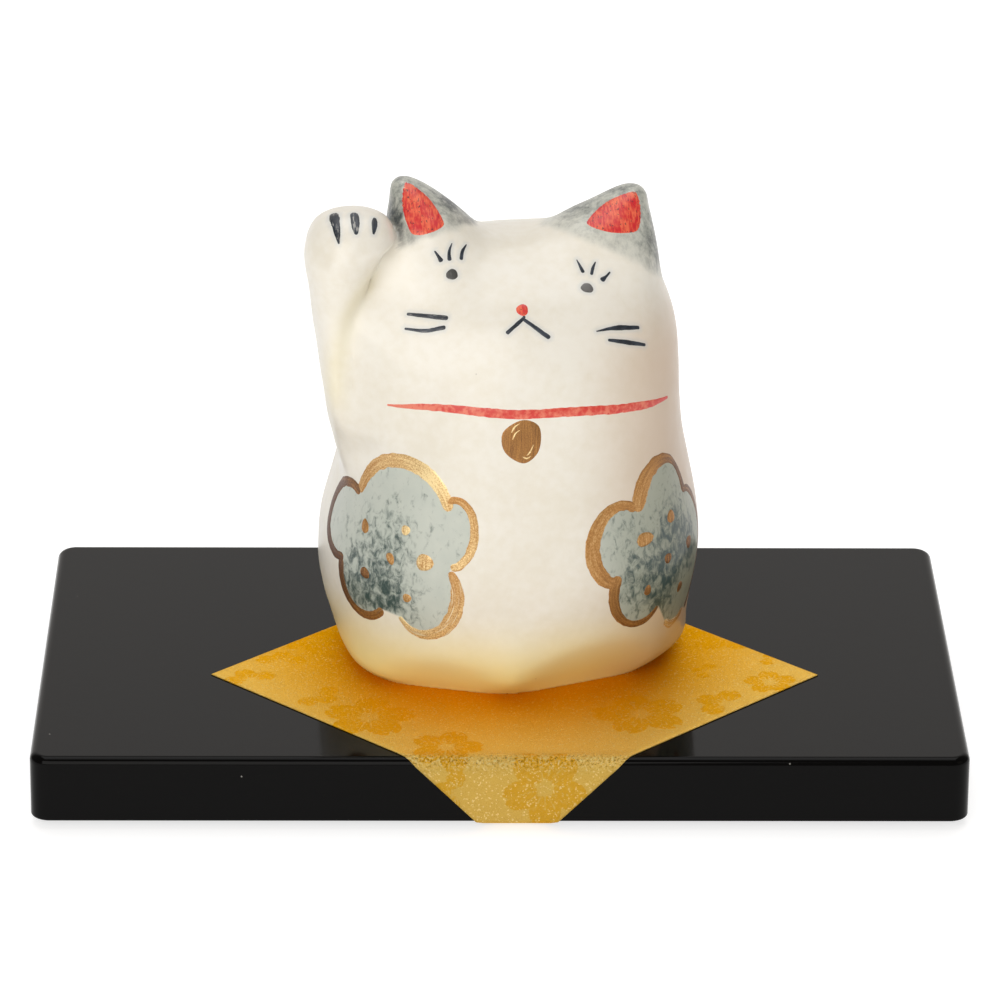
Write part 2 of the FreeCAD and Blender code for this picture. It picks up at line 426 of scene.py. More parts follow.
# Cherry blossoms woven into the mat, in millimetres on the flat sheet from its middle:
# centre right, centre back, radius of the petals, turn in degrees, petals shown
BLOSSOMS = [
    (-25.3, -18.3, 8.2, 12.0, 5),
    (-35.0, 14.5, 6.2, 60.0, 5),
    (-41.0, 5.0, 4.6, 15.0, 3),
    (-46.0, -3.0, 5.0, 40.0, 3),
    (-35.0, -9.0, 4.8, 250.0, 3),
    (-12.0, -30.5, 6.4, 72.0, 5),
    (21.3, -16.8, 8.4, 34.0, 5),
    (34.2, 1.2, 3.4, 90.0, 3),
    (44.5, -3.4, 4.8, 165.0, 5),
    (36.5, -12.5, 5.6, 80.0, 3),
    (37.0, 16.5, 6.6, 20.0, 5),
    (46.6, 6.2, 3.6, 60.0, 3),
    (4.7, -39.6, 7.4, 270.0, 5),
    (-10.0, -40.5, 4.4, 100.0, 3),
    (-7.0, -52.0, 5.0, 45.0, 5),
    (8.0, 30.0, 8.0, 10.0, 5),
    (-16.0, 27.0, 7.0, 50.0, 5),
    (22.0, 24.0, 7.2, 25.0, 5),
    (-4.0, 43.0, 6.2, 30.0, 5),
    (3.0, 6.0, 8.2, 0.0, 5),
    (-17.0, 4.0, 7.0, 30.0, 5),
]
PETAL_SECTOR = math.radians(72.0)
RAY_SECTOR = math.radians(24.0)

GOLD_GROUND = (0.90, 0.585, 0.13, 1), (0.96, 0.64, 0.16, 1)
GOLD_FIGURE = (0.86, 0.43, 0.012, 1), (0.92, 0.48, 0.02, 1)
CAT_REFLECTION_AMBER = (0.90, 0.43, 0.002, 1)
CRINKLE_HIGHLIGHT = (1.0, 0.88, 0.42, 1)
CRINKLE_SHADE = (0.30, 0.14, 0.01, 1)
WEAVE_DARK = (0.46, 0.22, 0.01, 1)
FLAP_SHADE = (0.36, 0.22, 0.035, 1)
FLAKE_GLINT = (1.0, 0.86, 0.45, 1)


def blossom_fields(flat):
    """How far inside a petal, and how far from a stamen, each flat point is, in millimetres."""
    petals = np.full(len(flat), -1.0)
    stamens = np.full(len(flat), 1.0)
    for right, back, radius, turn, count in BLOSSOMS:
        offset = flat - (right, back)
        distance = np.hypot(*offset.T)
        angle = np.arctan2(offset[:, 1], offset[:, 0]) - math.radians(turn) + PETAL_SECTOR / 2
        number = np.floor(angle / PETAL_SECTOR) % 5
        folded = angle % PETAL_SECTOR - PETAL_SECTOR / 2
        along = distance * np.cos(folded)
        across = distance * np.abs(np.sin(folded))
        oval = 1.0 - np.hypot((along / radius - 0.60) / 0.41, across / radius / 0.37)
        notch = 0.9 * across - 0.45 * (along - 0.84 * radius)
        petal = np.minimum(0.37 * radius * oval, notch)
        petals = np.maximum(petals, np.where(number < count, petal, -1.0))
        ray = distance * np.abs(angle % RAY_SECTOR - RAY_SECTOR / 2)
        stamens = np.minimum(stamens, np.maximum(ray, distance - 0.56 * radius))
    return petals, stamens


def gold_cloth_material():
    """Gold cloth with blossoms, crinkled at the fold, from the sheet's flat places and fields, with a
    painted reflection of the cat, painted shade on the flap and in the crinkles, and painted highlights on
    the crinkles and flakes.
    """
    n = Nodes("gold_cloth")
    flat = n.add("ShaderNodeAttribute", attribute_name="flat").outputs["Vector"]

    def weave(scale, detail, roughness=0.5):
        settings = {"Vector": flat, "Scale": scale, "Detail": detail, "Roughness": roughness}
        return n.add("ShaderNodeTexNoise", settings).outputs[0]

    fray = n.math("MULTIPLY", n.math("SUBTRACT", weave(1.5, 2.0), 0.5), 0.5)
    petal = n.ramp(n.math("ADD", n.attribute("petals"), fray), -0.08, 0.10)
    stamen = n.ramp(n.math("ADD", n.attribute("stamens"), fray), 0.06, 0.22, 1.0, 0.0)
    strength = n.math("MULTIPLY", n.math("MULTIPLY", petal, n.math("SUBTRACT", 1.0, stamen)),
                      n.ramp(weave(1.3, 4.0), 0.25, 0.55, 0.55, 1.0))
    cloudy = weave(0.25, 3.0)
    colour = n.mix(strength, n.mix(cloudy, *GOLD_GROUND), n.mix(cloudy, *GOLD_FIGURE))
    # Painted reflection of the figurine's foot in the gold cloth round it
    colour = n.mix(n.attribute("cat_reflection"), colour, CAT_REFLECTION_AMBER)
    grain = weave(4.5, 3.0, 0.65)
    flakes = n.add("ShaderNodeTexVoronoi", {"Vector": flat, "Scale": 4.0, "Randomness": 1.0})
    flake_tone = n.add("ShaderNodeSeparateColor", {0: flakes.outputs["Color"]}).outputs[0]
    crinkle = weave(2.2, 4.0, 0.6)
    bend = n.attribute("bend")
    # Painted highlights on the crinkles' ridges at the fold, and painted shade in their hollows
    raised = n.math("MULTIPLY", n.ramp(crinkle, 0.50, 0.62, 0.0, 0.7), bend)
    colour = n.mix(raised, colour, CRINKLE_HIGHLIGHT)
    crinkle_shade = n.math("MULTIPLY", n.ramp(crinkle, 0.36, 0.46, 0.8, 0.0), bend)
    colour = n.mix(crinkle_shade, colour, CRINKLE_SHADE)
    colour = n.mix(n.ramp(grain, 0.52, 0.68, 0.0, 0.4), colour, WEAVE_DARK)
    colour = n.mix(n.math("MULTIPLY", n.attribute("flap"), 0.55), colour, FLAP_SHADE)
    # Painted glints on the cloth's flakes
    sparkle = n.ramp(flake_tone, 0.86, 0.95)
    colour = n.mix(n.math("MULTIPLY", sparkle, 0.32), colour, FLAKE_GLINT)
    rough = n.math("SUBTRACT", n.ramp(grain, 0.3, 0.7, 0.36, 0.48), n.math("MULTIPLY", sparkle, 0.12))
    height = n.math("ADD", n.math("MULTIPLY", grain, 1.3), n.math("MULTIPLY", flake_tone, 0.45))
    height = n.math("ADD", height, n.math("MULTIPLY", strength, 0.25))
    height = n.math("ADD", height, n.math("MULTIPLY", crinkle, n.math("MULTIPLY", bend, 4.5)))
    return n.finish(Base_Color=colour, Metallic=1.0, Specular_Tint=(1.0, 0.75, 0.35, 1),
                    Roughness=rough, Normal=n.bump(height, 0.12, 1.0))


BOARD_EDGE_ROUND = 1.4
BOARD_FOOT_EDGE_ROUND = 0.5
# Half width and half depth of the figurine's foot, round which a reflection of its honey glaze is painted
# into the cloth
CAT_FOOT = np.array([27.0, 25.5])


class Fold:
    """The mat's path over the board's front edge, as lengths along the sheet from its last flat line."""

    def __init__(self):
        mat_low, mat_high = box_mm("cloth_mat")
        board_low, board_high = box_mm("display_board")
        self.half = (mat_high[0] - mat_low[0]) / 2
        self.side = self.half * math.sqrt(2.0)
        self.middle = ((mat_low[0] + mat_high[0]) / 2, mat_high[1] - self.half)
        self.sheet = mat_high[2] - board_high[2]
        self.top = board_high[2]
        gap = board_low[1] - mat_low[1] - self.sheet
        self.front = board_low[1] - gap
        self.under = mat_low[2] + self.sheet
        self.upper = BOARD_EDGE_ROUND + gap
        self.lower = BOARD_FOOT_EDGE_ROUND + gap
        self.bend_line = self.front + self.upper - self.middle[1]
        self.first = math.pi / 2 * self.upper
        self.drop = self.first + self.top - self.upper - self.under - self.lower
        self.second = self.drop + math.pi / 2 * self.lower

    def place(self, flat, raised):
        """Points on the sheet's underside, moved out by raised, from flat (right, back) positions."""
        x = flat[:, 0] + self.middle[0]
        along = self.bend_line - flat[:, 1]
        turn = np.clip(along / self.upper, 0.0, math.pi / 2)
        turn += np.clip((along - self.drop) / self.lower, 0.0, math.pi / 2)
        y = flat[:, 1] + self.middle[1]
        z = np.full(len(flat), self.top)
        bend = along > 0
        y[bend] = self.front + self.upper * (1.0 - np.sin(turn[bend]))
        z[bend] = self.top - self.upper * (1.0 - np.cos(turn[bend]))
        face = along > self.first
        y[face] = self.front
        z[face] = self.top - self.upper - (along[face] - self.first)
        curl = along > self.drop
        more = turn[curl] - math.pi / 2
        y[curl] = self.front + self.lower * (1.0 - np.cos(more))
        z[curl] = self.under + self.lower * (1.0 - np.sin(more))
        tucked = along > self.second
        y[tucked] = self.front + self.lower + along[tucked] - self.second
        z[tucked] = self.under
        outward = np.stack([np.zeros(len(flat)), -np.sin(turn), np.cos(turn)], 1)
        return np.stack([x, y, z], 1) + outward * np.asarray(raised)[:, None]


def cloth_mat():
    """A square sheet laid corner to the front, crinkled where it folds over the board's edge."""
    fold = Fold()
    steps = 200
    edge = np.linspace(-fold.side / 2, fold.side / 2, steps + 1)
    a, b = np.meshgrid(edge, edge, indexing="ij")
    flat = np.stack([(a - b).ravel(), (a + b).ravel()], 1) / math.sqrt(2.0)
    along = fold.bend_line - flat[:, 1]
    at_fold = np.exp(-((along - 1.2) / 1.5) ** 2)
    on_face = smooth_step(0.5, 3.0, along)
    grain_points = np.concatenate([flat, np.zeros((len(flat), 1))], 1)
    crinkle = noise_field(grain_points, 0.75, 3) * 0.05 * at_fold
    crinkle += noise_field(grain_points * [1.0, 0.35, 1.0], 1.6, 4) * 0.05 * at_fold
    ripple = noise_field(grain_points, 6.0, 5) * 0.05 * on_face
    rim = fold.side / 2 - np.maximum(np.abs(a), np.abs(b)).ravel()
    thin = fold.sheet - 0.12 * (1.0 - smooth_step(0.0, 0.8, rim))
    uneven = np.clip(crinkle + ripple, -0.12, 0.12) * smooth_step(0.0, 3.0, along + 1.0)
    outside = fold.place(flat, thin + uneven)
    inside = fold.place(flat, np.full(len(flat), 0.02))
    faces = slab_faces(steps + 1, steps + 1).tolist()
    piece = make_piece("cloth_mat_sheet", np.concatenate([outside, inside]), faces, STAND,
                       gold_cloth_material())
    petals, stamens = blossom_fields(flat)
    from_cat_axis = flat + np.array(fold.middle) - CAT_AXIS[:2]
    # A painted reflection of the figurine's foot, amber, fading out beyond it
    beyond_foot = np.hypot(*(from_cat_axis / CAT_FOOT).T) - 1.0
    cat_reflection = 1.0 - smooth_step(0.05, 1.05, beyond_foot)
    add_attribute(piece, "flat", "FLOAT_VECTOR", np.tile(grain_points, (2, 1)))
    for name, values in (("petals", petals), ("stamens", stamens), ("bend", at_fold), ("flap", on_face),
                         ("cat_reflection", cat_reflection)):
        add_attribute(piece, name, "FLOAT", np.tile(values, 2))
    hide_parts("cloth_mat")


# ---------------------------------------------------------------- the figurine's clay body

BODY_VOXEL = 0.6

# Clay pressed into the join between the arm and the head: x, y, height, radius
JOIN_CLAY = [
    (-24.5, -10, 40, 2.5),
    (-23.5, -10, 45, 3.5),
    (-21.5, -9, 56, 4.5),
    (-21, -7, 67, 4.5),
    (-20.5, -6, 72, 3.5),
    (-20, -5, 77, 1.5),
]


def roll_of_clay(sections, sides=20):
    """A closed tube through level circles."""
    around = np.linspace(0.0, 2 * math.pi, sides, endpoint=False)
    points = [(x + radius * math.cos(a), y + radius * math.sin(a), height)
              for x, y, height, radius in sections for a in around]
    faces = [[level * sides + i, level * sides + (i + 1) % sides,
              (level + 1) * sides + (i + 1) % sides, (level + 1) * sides + i]
             for level in range(len(sections) - 1) for i in range(sides)]
    faces.append(list(range(sides))[::-1])
    faces.append(list(range(len(points) - sides, len(points))))
    return (from_cat(points) * MM).tolist(), faces


def raw_body():
    """The figurine's CAD pieces as one skin, with clay in the arm's join."""
    parts = [node_parts(n) for n in ("body_front_shell", "body_rear_shell", "raised_arm", "bobtail")]
    parts.append(hull_parts("base_disc"))
    parts.append(roll_of_clay(JOIN_CLAY))
    points, faces = voxel_union(parts, BODY_VOXEL)
    return Skin(to_cat(points), faces)


# Facets pared off the foot with a knife: direction in degrees, distance from the axis at the base,
# and how fast the facet leans outwards with height
FACETS = [
    (-70.0, 24.3, 0.70),
    (-111.0, 25.4, 0.72),
    (-152.0, 28.8, 1.1),
]

# Pushes of the wet clay: direction in degrees, height, spread in degrees, spread in height, outward push
PUSHES = [
    (0.0, 2.0, 26.0, 3.5, 1.5),
    (-12.0, 1.5, 14.0, 4.0, 0.8),
    (-148.0, 1.5, 16.0, 4.0, 1.2),
    (180.0, 6.0, 30.0, 5.0, -0.9),
]


def pare(skin, direction, distance, slope):
    """Presses what stands past a slanting plane back to it, with soft edges."""
    softness = 0.5
    outward = np.array([math.cos(math.radians(direction)), math.sin(math.radians(direction)), 0.0])
    excess = (skin.points @ outward - distance - slope * skin.points[:, 2]) / softness
    skin.points -= np.outer(softness * np.logaddexp(0.0, np.minimum(excess, 40.0)), outward)


def push(skin, direction, height, spread, spread_height, amount):
    """Moves a patch of the skin out from the axis, or in."""
    x, y, z = skin.points.T
    turned = (np.degrees(np.arctan2(y, x)) - direction + 180.0) % 360.0 - 180.0
    share = np.exp(-(turned / spread) ** 2 - ((z - height) / spread_height) ** 2)
    reach = amount * share / np.maximum(np.hypot(x, y), 1.0)
    skin.points[:, 0] += reach * x
    skin.points[:, 1] += reach * y


# Half width, half depth and squareness of the base disc, and the radius of its vent hole
DISC_HALF = (21.3, 19.7)
DISC_SQUARENESS = 2.3
VENT_RADIUS = 2.5

# The crease between the arm and the cheek: height, x of the arm's outer edge, x of the crease,
# and x after the cheek is spread over the arm
ARM_CREASE = [
    (42, -31, -27, -28.5),
    (48, -32, -26, -30),
    (58, -33.5, -24, -29),
    (67, -34.5, -21, -27),
    (76, -36, -19, -22),
    (79, -36, -19, -19),
]
CHEEK_BULGE = 1.9


def spread_cheek(skin):
    """Moves the arm's crease outwards, narrowing the arm's front and widening the cheek."""
    x, y, z = skin.points.T
    heights, *lines = np.array(ARM_CREASE).T
    outer, crease, target = (np.interp(z, heights, line) for line in lines)
    arm_share = np.clip((x - outer) / (crease - outer), 0.0, 1.0)
    share = np.minimum(arm_share, 1.0 - smooth_step(0.0, 11.0, x - crease))
    share *= smooth_step(-1.0, -7.0, y) * smooth_step(39.0, 46.0, z) * (1.0 - smooth_step(77.0, 80.0, z))
    bulge = np.exp(-((x + 20.5) / 4.2) ** 2 - ((z - 63.0) / 8.5) ** 2) * smooth_step(-4.0, -9.0, y)
    skin.points[:, 0] += share * (target - crease)
    skin.points[:, 1] -= CHEEK_BULGE * bulge


def sculpt_body(skin):
    """Turns the joined CAD pieces into hand-worked clay."""
    skin.relax(30)
    x, y, z = skin.points.T
    off_arm = smooth_step(-20.0, -17.0, x)

    # The joins: the ears' roots and fronts, then the arm beside the cheek and its lower end
    ear_roots = smooth_step(62.0, 68.0, z) * (1.0 - smooth_step(80.0, 84.0, z)) * off_arm
    skin.fill_creases(240, ear_roots[:, None])
    ear_fronts = smooth_step(58.0, 66.0, z) * (1.0 - smooth_step(76.0, 80.0, z)) * off_arm
    skin.soften(90, ear_fronts[:, None])
    arm_join = smooth_step(40.0, 50.0, z) * (1.0 - smooth_step(74.0, 80.0, z))
    arm_join *= smooth_step(14.0, 18.0, -x)
    skin.fill_creases(90, arm_join[:, None])
    arm_end = smooth_step(26.0, 33.0, z) * (1.0 - smooth_step(42.0, 52.0, z))
    arm_end *= smooth_step(15.0, 19.0, -x)
    skin.soften(70, arm_end[:, None])
    spread_cheek(skin)
    skin.fill_creases(6, 1.0)
    skin.relax(6)
    for facet in FACETS:
        pare(skin, *facet)
    for one in PUSHES:
        push(skin, *one)

    # A blunt ridge low on the front, between the facets
    x, y, z = skin.points.T
    front = smooth_step(10.0, 20.0, -y) * smooth_step(-0.6, 4.0, z) * (1.0 - smooth_step(6.0, 22.0, z))
    skin.points[:, 1] -= 0.9 * np.exp(-((x + 1.5) / 5.0) ** 2) * front
    skin.relax(4)

    # Hand-worked unevenness
    normals = skin.normals()
    uneven = 0.30 * noise_field(skin.points, 17.0, 1) + 0.10 * noise_field(skin.points, 6.0, 2)
    skin.points += normals * (uneven * smooth_step(0.0, 3.0, skin.points[:, 2]))[:, None]

    # The flat underside, open where the base disc sits
    x, y, z = skin.points.T
    inside_disc = ((np.abs(x) / DISC_HALF[0]) ** DISC_SQUARENESS
                   + (np.abs(y) / DISC_HALF[1]) ** DISC_SQUARENESS) < 1.0
    flat = z < 0.35
    z[flat] = 0.0
    z[flat & inside_disc] = 0.4
    z[flat & (np.hypot(x, y) < VENT_RADIUS + 1.0)] = 2.6


# ---------------------------------------------------------------- painting: finding places

# The picture plane that the face is painted on is tilted back by this much.
PICTURE_TILT = math.radians(22.0)
PICTURE_OUT = Vector((0.0, -math.cos(PICTURE_TILT), math.sin(PICTURE_TILT)))
PICTURE_UP = Vector((0.0, math.sin(PICTURE_TILT), math.cos(PICTURE_TILT)))
DEGREE_ROUND = 0.56             # one degree round the body, as a length on its surface


class Surface:
    """Finds places on the figurine's skin, in the figurine's own frame."""

    def __init__(self, skin):
        self.tree = BVHTree.FromPolygons(skin.points.tolist(), skin.faces)
        self.normals = skin.normals()
        self.faces = skin.faces

    def round_body(self, angle, height):
        """The place at an angle round the body, from its front to the viewer's right, and a height."""
        turn = math.radians(angle - 90.0)
        outward = Vector((math.cos(turn), math.sin(turn), 0.0))
        middle = Vector((LEAN_RATE * height, 0.0, height))
        return np.array(self.tree.ray_cast(middle + outward * 60.0, -outward)[0])

    def from_front(self, right, up):
        """The place that the picture plane shows at a distance right and up."""
        start = Vector((right, 0.0, 0.0)) + PICTURE_UP * up + PICTURE_OUT * 80.0
        return np.array(self.tree.ray_cast(start, -PICTURE_OUT)[0])

    def nearest(self, points):
        """The nearest places on the skin, and the smooth normals there."""
        places, normals = [], []
        for point in points:
            place, _, face, _ = self.tree.find_nearest(Vector(point))
            places.append(place)
            normals.append(self.normals[self.faces[face]].mean(0))
        normals = np.array(normals)
        return np.array(places), normals / np.linalg.norm(normals, axis=1, keepdims=True)


def smooth_line(points, closed=False):
    """Close-set points along a Catmull-Rom curve through the given ones."""
    points = np.array(points, float)
    first, last = (points[-1:], points[:2]) if closed else (2 * points[:1] - points[1:2],
                                                            2 * points[-1:] - points[-2:-1])
    knots = np.concatenate([first, points, last])
    t = np.linspace(0.0, 1.0, 12, endpoint=False)[:, None]
    spans = [0.5 * (2 * b + (c - a) * t + (2 * a - 5 * b + 4 * c - d) * t ** 2
                    + (3 * b - a - 3 * c + d) * t ** 3)
             for a, b, c, d in zip(knots, knots[1:], knots[2:], knots[3:])]
    return np.concatenate(spans if closed else spans + [points[-1:]])


def oval(centre, half_width, half_height, turn=0.0, unit=1.0):
    """A slightly uneven ring of points; unit is the length that one step to the right stands for."""
    angles = np.linspace(0.0, 2 * math.pi, 9, endpoint=False)
    uneven = 1.0 + 0.07 * np.sin(3.0 * angles + 5.0 * centre[0] + centre[1])
    x, y = half_width * np.cos(angles) * uneven, half_height * np.sin(angles) * uneven
    c, s = math.cos(math.radians(turn)), math.sin(math.radians(turn))
    return [(centre[0] + (c * a - s * b) / unit, centre[1] + s * a + c * b) for a, b in zip(x, y)]


def arc(centre, reach, start, end, points=9):
    """Points along an arc of an oval, between two angles in degrees from its right, anticlockwise."""
    angles = np.radians(np.linspace(start, end, points))
    return [(centre[0] + reach[0] * math.cos(a), centre[1] + reach[1] * math.sin(a)) for a in angles]


def rounded(corners, rounding=0.14, bulge=0.06):
    """An outline with its corners cut off and its sides bowed out, for a smooth closed line."""
    outline = []
    for a, b in zip(np.array(corners, float), np.roll(corners, -1, 0)):
        side = b - a
        bow = bulge * np.array([-side[1], side[0]])
        outline += [a + rounding * side, a + 0.5 * side + bow, b - rounding * side]
    return outline


def lash(eye, root, lean, length, bow):
    """The route of an eyelash, from its tip down to its root beside the eye."""
    tilt = math.radians(lean)
    root = np.add(eye, root)
    tip = root + length * np.array([math.sin(tilt), math.cos(tilt)])
    middle = (root + tip) / 2 - bow * np.array([math.cos(tilt), -math.sin(tilt)])
    return [tip, middle, root]


class Paint:
    """Strokes and blobs of paint on the skin: thin closed patches that make up one piece."""

    ACROSS = np.sin(np.linspace(-math.pi / 2, math.pi / 2, 9))
    ROW = 0.3
    SUNK = 0.03
    UNDERSIDE = 0.12

    def __init__(self, surface):
        self.surface = surface
        self.points, self.faces, self.brush, self.tone, self.dry = [], [], [], [], []
        self.count = 0

    def lay(self, places, dome, thickness, brush, tone, dry):
        """One patch from a grid of places near the skin; where dome is 0 it dips into the skin."""
        rows, columns = dome.shape
        on_skin, normals = self.surface.nearest(places.reshape(-1, 3))
        rise = thickness * dome.ravel() - self.SUNK * (1.0 - dome.ravel()) ** 4
        self.faces.append(slab_faces(rows, columns, self.count))
        self.points += [on_skin + normals * rise[:, None], on_skin - normals * self.UNDERSIDE]
        self.brush.append(np.tile(brush, (2, 1)))
        self.tone.append(np.tile(np.broadcast_to(tone, dome.shape).ravel(), 2))
        self.dry.append(np.full(2 * rows * columns, dry))
        self.count += 2 * rows * columns

    def stroke(self, chart, route, widths, tones=(0.5,), dry=0.0, thickness=0.05):
        """A brush stroke; its widths and tones are given at even steps along it."""
        line = np.array([chart(*place) for place in smooth_line(route)])
        length = np.concatenate([[0.0], np.cumsum(np.linalg.norm(np.diff(line, axis=0), axis=1))])
        share = np.linspace(0.0, 1.0, max(int(length[-1] / self.ROW), 16))
        share -= 0.09 * np.sin(2 * math.pi * share)
        along = share * length[-1]
        centre = np.stack([np.interp(along, length, line[:, k]) for k in range(3)], 1)
        centre, normals = self.surface.nearest(centre)
        side = np.cross(normals, np.gradient(centre, axis=0))
        side /= np.linalg.norm(side, axis=1, keepdims=True)
        half = np.interp(share, np.linspace(0.0, 1.0, len(widths)), widths) / 2
        end = np.clip(np.minimum(along, length[-1] - along) / half, 0.0, 1.0)
        cap = np.maximum(np.sqrt(1.0 - (1.0 - end) ** 2), 0.08)
        seed = len(self.faces) + 1.0
        ragged = [1.0 + 0.16 * noise_field(np.stack([along, along * 0 + edge, along * 0], 1), 0.9, seed)
                  for edge in (3.0, 9.0)]
        reach = np.where(self.ACROSS < 0, *(r[:, None] for r in ragged))
        reach = reach * (half * cap)[:, None] * self.ACROSS
        places = centre[:, None] + side[:, None] * reach[:, :, None]
        dome = (1.0 - self.ACROSS ** 4) * np.sqrt(end)[:, None]
        brush = np.stack([np.repeat(along, len(self.ACROSS)), reach.ravel(),
                          np.full(reach.size, seed * 7.3)], 1)
        tone = np.interp(share, np.linspace(0.0, 1.0, len(tones)), tones)[:, None]
        self.lay(places, dome, thickness, brush, tone, dry)

    def blob(self, chart, outline, tone=0.5, dry=0.0, thickness=0.05, steps=11, unit=1.0):
        """A filled patch inside an outline that is seen whole from its middle."""
        rim = smooth_line(outline, closed=True)
        middle = rim.mean(0)
        offset = rim - middle
        order = np.argsort(np.arctan2(offset[:, 1], offset[:, 0]))
        rim_angles = np.arctan2(offset[:, 1], offset[:, 0])[order]
        rim_reach = np.hypot(*offset.T)[order]
        edge = np.sin(np.linspace(-math.pi / 2, math.pi / 2, steps))
        u, v = np.meshgrid(edge, edge, indexing="ij")
        disc = np.stack([u * np.sqrt(1.0 - v * v / 2), v * np.sqrt(1.0 - u * u / 2)], -1).reshape(-1, 2)
        reach = np.interp(np.arctan2(disc[:, 1], disc[:, 0]), rim_angles, rim_reach, period=2 * math.pi)
        flat = disc * reach[:, None]
        places = np.array([chart(*place) for place in middle + flat])
        radius = np.minimum(np.hypot(*disc.T), 1.0)
        brush = np.stack([flat[:, 1], flat[:, 0] * unit, np.full(len(flat), len(self.faces) * 7.3)], 1)
        self.lay(places.reshape(steps, steps, 3), (1.0 - radius ** 6).reshape(steps, steps), thickness,
                 brush, tone, dry)

    def finish(self, name, material):
        points = np.concatenate(self.points)
        piece = make_piece(name, from_cat(points), np.concatenate(self.faces).tolist(), CAT,
                           material)
        add_attribute(piece, "brush", "FLOAT_VECTOR", np.concatenate(self.brush))
        add_attribute(piece, "tone", "FLOAT", np.concatenate(self.tone))
        add_attribute(piece, "dry", "FLOAT", np.concatenate(self.dry))
        return points


# ---------------------------------------------------------------- painting: what is painted

# Plum blossoms in gold, one arc a petal, clockwise: centre (degrees round the body, height), reach across
# and up, angles where the arc starts and ends, widths of the stroke, tones, dryness
# The tones are partly painted light over the paint's own brown: the gold is brightest where it catches the
# key light, at the right end of the top left petal, and browner on petals turned away from it.
LEFT_PLUM = [
    ((-44, 33), (18.5, 9.5), 172, 15, (1.9, 2.5, 2.7, 2.8, 2.6, 1.9), (0.45, 0.4, 0.3, 0.0, 0.3), 0.0),
    ((-24.5, 31.5), (7, 6), 120, -88, (1.3, 1.4, 1.6, 1.7, 1.5), (0.6, 0.4, 0.3, 0.3), 0.0),
    ((-32, 20), (10.5, 7.5), 42, -140, (1.3, 2.4, 2.7, 2.7, 2.1, 1.5, 0.8), (0.5, 0.4, 0.3, 0.1), 0.35),
    ((-53.5, 21), (11, 7.5), -45, -188, (1.6, 1.8, 1.7, 2.0, 2.0), (0.65, 0.8, 0.95), 0.08),
    ((-67, 28.5), (12, 6.5), -72, -297, (1.6, 2.0, 2.2, 2.0, 1.7), (0.95, 1.05, 1.0, 0.75), 0.05),
]
RIGHT_PLUM = [
    ((50.5, 31.5), (13, 9), 170, 6, (2.6, 3.5, 3.4, 2.9, 1.8, 1.2, 1.4, 2.0),
     (0.5, 0.55, 0.75, 0.9, 0.95), 0.0),
    ((62, 21), (14, 12), 90, -70, (1.2, 1.7, 2.1, 2.2, 1.6), (0.9,), 0.0),
    ((58, 15), (9.5, 6), -50, -135, (1.6, 1.9, 1.2), (0.6, 0.4, 0.3), 0.5),
    ((39, 19.5), (10.5, 7), -45, -208, (0.8, 1.4, 1.4, 1.9, 2.3, 2.3), (0.8, 0.7, 0.6), 0.0),
    ((31.5, 28), (10.5, 7), -98, -305, (2.0, 2.8, 3.0, 2.9, 2.5, 2.0, 1.7), (0.6, 0.5, 0.5, 0.6), 0.0),
]
# Dots in gold inside the blossoms: place, half width, half height, turn in degrees, tone
PLUM_DOTS = [
    ((-55.5, 29.5), 0.95, 1.3, 25.0, 0.60),
    ((-40, 31), 0.90, 0.90, 0.0, 0.15),
    ((-44, 25.5), 0.75, 1.15, 30.0, 0.50),
    ((-32.5, 26), 1.65, 1.55, 0.0, 0.30),
    ((-53, 21.5), 1.15, 0.95, -35.0, 0.80),
    ((-37.5, 19), 0.85, 0.80, 0.0, 0.45),
    ((52.5, 30), 1.15, 1.15, 0.0, 0.65),
    ((40, 28), 2.0, 1.25, 0.0, 0.50),
    ((62, 23.5), 1.15, 1.15, 0.0, 0.85),
    ((49.5, 23), 0.95, 0.95, 0.0, 0.80),
    ((41, 18.5), 0.80, 1.0, 0.0, 0.70),
    ((57.5, 16), 0.90, 1.05, 0.0, 0.80),
]
# Where teal pooled inside the blossoms: place, reach round the body in degrees, reach up, strength
TEAL_POOLS = [
    ((-56, 18.0), 11.0, 6.0, 1.0),
    ((-43, 18.0), 9.0, 6.0, 0.75),
    ((-46, 28.0), 9.0, 6.0, 0.7),
    ((-58, 27.0), 6.0, 4.5, 0.3),
    ((54, 28), 8.0, 6.0, 1.0),
    ((62, 23), 8.0, 5.0, 0.9),
    ((49, 17), 7.0, 7.0, 1.0),
    ((38, 22), 9.0, 8.0, 0.75),
    ((32, 30), 7.0, 5.0, 0.25),
]

# The collar and the bell, as (degrees round the body, height)
COLLAR = [(-52, 52), (-30, 53), (-5, 52.5), (20, 52.5), (58, 50.5)]
BELL = (-3.5, 48)
BELL_SHINE = [
    [(-7.5, 49.4), (-6.4, 50.4), (-4.6, 51.0)],
    [(-7.0, 48.2), (-6.0, 49.3), (-4.4, 49.9)],
    [(-1.8, 45.4), (-0.4, 46.2), (0.6, 47.4)],
    [(-3.2, 45.3), (-1.6, 45.0), (-0.2, 45.4)],
]

# On the picture plane, right and up. Eyes: centre, half width, half height, turn, tone
EYES = [((-10.5, 63), 1.05, 0.95, 10, 0.3), ((12.5, 60), 1.15, 0.85, -15, 0.75)]
